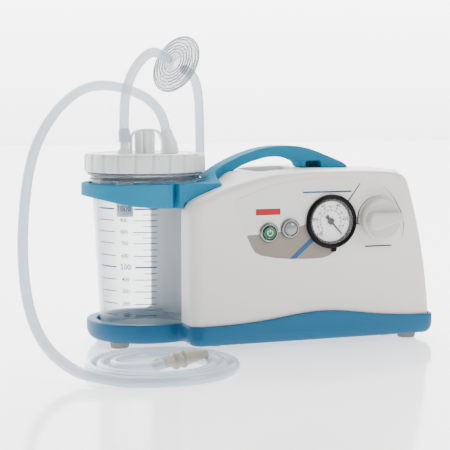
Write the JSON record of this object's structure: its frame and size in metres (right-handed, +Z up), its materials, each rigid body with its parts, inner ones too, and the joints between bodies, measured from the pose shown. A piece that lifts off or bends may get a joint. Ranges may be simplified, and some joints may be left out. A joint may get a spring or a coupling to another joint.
{
  "type": "suction pump",
  "caption": "Portable electric suction pump with a clear collection jar, screw lid, in-line filter, hoses, vacuum gauge, regulator knob and carrying handle.",
  "frame": {"origin": "middle of the footprint, on the plane the feet stand on, measured without the patient hose", "axes": "+X along the length, from the jar to the housing; +Y to the back; +Z up"},
  "size_m": [0.4355, 0.3015, 0.311],
  "materials": {
    "base_plastic": "satin moulded, blue",
    "handle_plastic": "satin moulded, light blue",
    "shell_plastic": "satin moulded, warm white",
    "label_film": "printed film",
    "black_plastic": "gloss black",
    "dial_print": "matt white with printed scales",
    "clear_window": "clear",
    "brass": "machined",
    "needle_black": "matt black",
    "bezel_chrome": "bright plated",
    "green_plastic": "translucent green",
    "lens_plastic": "milky lens",
    "knob_plastic": "matt light grey",
    "cap_plastic": "satin white",
    "lid_plastic": "satin white",
    "jar_clear": "clear polycarbonate with printed blue graduations",
    "hose_pvc": "translucent soft PVC",
    "filter_clear": "clear styrene",
    "membrane": "white membrane",
    "rubber_grey": "matt",
    "rubber_black": "matt",
    "steel": "plain",
    "dark_steel": "black oxide",
    "cast_aluminium": "cast",
    "connector_plastic": "ivory grey, slightly translucent",
    "float_plastic": "white",
    "cage_plastic": "translucent grey",
    "fan_plastic": "matt dark grey"
  },
  "bodies": {
    "unit": {"base_tray": "base_plastic", "rubber_feet": "rubber_grey", "upper_housing": "shell_plastic", "handle_collar": "handle_plastic", "housing_screws": "steel", "handle_screws": "steel", "control_label": "label_film", "gauge_case": "black_plastic", "gauge_dial": "dial_print", "gauge_window": "clear_window", "bourdon_tube": "brass", "switch_bezel": "bezel_chrome", "switch_body": "black_plastic", "lamp_bezel": "bezel_chrome", "lamp_lens": "lens_plastic", "regulator_body": "brass", "inlet_spigot": "lid_plastic", "power_inlet": "black_plastic", "inlet_pins": "steel", "exhaust_muffler": "fan_plastic", "exhaust_hose": "hose_pvc", "inlet_hose": "hose_pvc", "regulator_hose": "hose_pvc", "gauge_hose": "hose_pvc", "motor_casing": "cast_aluminium", "motor_stator": "steel", "motor_bearings": "steel", "crankcase": "cast_aluminium", "cylinder_sleeve": "cast_aluminium", "valve_plate": "steel", "cylinder_head": "cast_aluminium", "head_screws": "dark_steel", "motor_cradle": "steel", "rubber_mounts": "rubber_black", "patient_hose_coil": "hose_pvc", "patient_connector": "connector_plastic"},
    "canister": {"jar": "jar_clear", "lid_gasket": "rubber_grey", "jar_lid": "lid_plastic", "lid_knob": "cap_plastic", "lid_strap": "lid_plastic", "patient_elbow": "lid_plastic", "float_cage": "cage_plastic", "jar_hose": "hose_pvc", "pump_hose": "hose_pvc", "filter_front": "filter_clear", "filter_back": "filter_clear", "filter_membrane": "membrane", "patient_hose": "hose_pvc"},
    "ring_cap": {"screw_ring": "cap_plastic"},
    "overflow_float": {"float": "float_plastic"},
    "needle": {"gauge_needle": "needle_black"},
    "knob": {"regulator_knob": "knob_plastic"},
    "button": {"switch_button": "green_plastic"},
    "rotor": {"motor_rotor": "steel", "cooling_fan": "fan_plastic", "eccentric": "cast_aluminium"},
    "rod": {"piston_rod": "cast_aluminium"},
    "drawer": {"fuse_drawer": "black_plastic"}
  },
  "joints": [
    {"name": "canister_lift", "type": "slide", "parent": "unit", "child": "canister", "axis": [0, 0, 1], "range_m": [0, 0.155]},
    {"name": "ring_turn", "type": "hinge", "parent": "canister", "child": "ring_cap", "pos_m": [-0.1105, 0.0175, 0.174], "axis": [0, 0, 1], "range_deg": [0, 350]},
    {"name": "float_rise", "type": "slide", "parent": "canister", "child": "overflow_float", "axis": [0, 0, 1], "range_m": [0, 0.008]},
    {"name": "needle_sweep", "type": "hinge", "parent": "unit", "child": "needle", "pos_m": [0.0565, -0.071, 0.1248], "axis": [0, -1, 0], "range_deg": [0, 270], "stiffness_Nm_per_rad": 0.0005, "springref_deg": -11.46},
    {"name": "knob_turn", "type": "hinge", "parent": "unit", "child": "knob", "pos_m": [0.1092, -0.08, 0.1257], "axis": [0, -1, 0], "range_deg": [-135, 135]},
    {"name": "button_press", "type": "slide", "parent": "unit", "child": "button", "axis": [0, 1, 0], "range_m": [0, 0.003], "stiffness_N_per_m": 600, "springref_m": -0.002},
    {"name": "rotor_spin", "type": "hinge", "parent": "unit", "child": "rotor", "pos_m": [0.018, 0.025, 0.066], "axis": [1, 0, 0], "continuous": true},
    {"name": "rod_orbit", "type": "hinge", "parent": "rotor", "child": "rod", "pos_m": [0.018, 0.025, 0.0695], "axis": [1, 0, 0], "continuous": true},
    {"name": "drawer_pull", "type": "slide", "parent": "unit", "child": "drawer", "axis": [0, 1, 0], "range_m": [0, 0.014]}
  ],
  "couplings": [
    {"joint": "rod_orbit", "follows": "rotor_spin", "ratio": -1}
  ]
}
